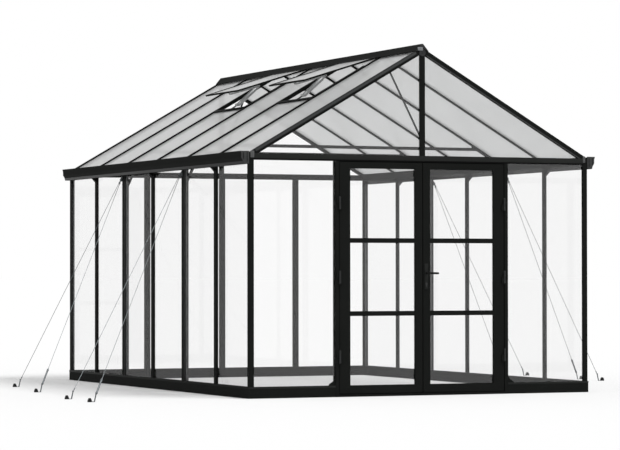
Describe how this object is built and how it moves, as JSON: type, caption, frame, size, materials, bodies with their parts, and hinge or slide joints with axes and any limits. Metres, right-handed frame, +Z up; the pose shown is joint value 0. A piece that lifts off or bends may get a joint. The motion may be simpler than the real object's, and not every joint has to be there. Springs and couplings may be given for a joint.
{
  "type": "greenhouse",
  "caption": "Walk-in garden greenhouse with a gable roof, clear sheet walls, hazy roof sheets, a glazed double door, open roof vents, eave gutters and taut guy wires.",
  "frame": {"origin": "on the ground, in the middle of the box that holds the whole greenhouse with its guy wires", "axes": "+Z up; -Y toward the front with the double door; +X to the right when facing +Y, so the roof vents lie on the -X slope"},
  "size_m": [5.712, 4.4524, 2.8416],
  "materials": {
    "black_frame_paint": "satin black powder coat",
    "galvanised_steel": "galvanised",
    "clear_sheet": "clear polycarbonate",
    "hazy_sheet": "hazy light-diffusing polycarbonate"
  },
  "bodies": {
    "frame": {"front_base_frame": "black_frame_paint", "base_left": "black_frame_paint", "base_right": "black_frame_paint", "base_back": "black_frame_paint", "corner_post_front_left": "black_frame_paint", "corner_post_front_right": "black_frame_paint", "corner_post_back_left": "black_frame_paint", "corner_post_back_right": "black_frame_paint", "left_post_1": "black_frame_paint", "left_post_2": "black_frame_paint", "left_post_3": "black_frame_paint", "left_post_4": "black_frame_paint", "left_post_5": "black_frame_paint", "right_post_1": "black_frame_paint", "right_post_2": "black_frame_paint", "right_post_3": "black_frame_paint", "right_post_4": "black_frame_paint", "right_post_5": "black_frame_paint", "back_post_1": "black_frame_paint", "back_post_2": "black_frame_paint", "back_post_3": "black_frame_paint", "front_beam": "black_frame_paint", "back_beam": "black_frame_paint", "gutter_left": "black_frame_paint", "gutter_right": "black_frame_paint", "rafter_0": "black_frame_paint", "rafter_1": "black_frame_paint", "rafter_2": "black_frame_paint", "rafter_3": "black_frame_paint", "rafter_4": "black_frame_paint", "rafter_5": "black_frame_paint", "rafter_6": "black_frame_paint", "ridge": "black_frame_paint", "truss_front": "black_frame_paint", "truss_rear": "black_frame_paint", "vent_front_frame": "black_frame_paint", "vent_rear_frame": "black_frame_paint", "vent_front_sill": "black_frame_paint", "vent_rear_sill": "black_frame_paint", "vent_front_glazing": "hazy_sheet", "vent_rear_glazing": "hazy_sheet", "glazing_left": "clear_sheet", "glazing_right": "clear_sheet", "glazing_back": "clear_sheet", "glazing_front_left": "clear_sheet", "glazing_front_right": "clear_sheet", "gable_glazing_front": "clear_sheet", "gable_glazing_back": "clear_sheet", "roof_glazing_left": "hazy_sheet", "roof_glazing_right": "hazy_sheet", "guy_left_front": "galvanised_steel", "guy_left_rear": "galvanised_steel", "guy_right_front": "galvanised_steel", "guy_right_rear": "galvanised_steel"},
    "left_door": {"door_left_frame": "black_frame_paint", "door_left_glazing": "clear_sheet"},
    "right_door": {"door_right_frame": "black_frame_paint", "door_right_glazing": "clear_sheet"},
    "lever": {"door_handle": "black_frame_paint"}
  },
  "joints": [
    {"name": "left_door_hinge", "type": "hinge", "parent": "frame", "child": "left_door", "pos_m": [-0.737, -2.19625, 0.95], "axis": [0, 0, -1], "range_deg": [0, 105]},
    {"name": "right_door_hinge", "type": "hinge", "parent": "frame", "child": "right_door", "pos_m": [0.737, -2.19625, 0.95], "axis": [0, 0, 1], "range_deg": [0, 105]},
    {"name": "lever_turn", "type": "hinge", "parent": "right_door", "child": "lever", "pos_m": [0.0295, -2.19625, 0.986], "axis": [0, 1, 0], "range_deg": [0, 40], "stiffness_Nm_per_rad": 0.6, "springref_deg": -34.38}
  ]
}
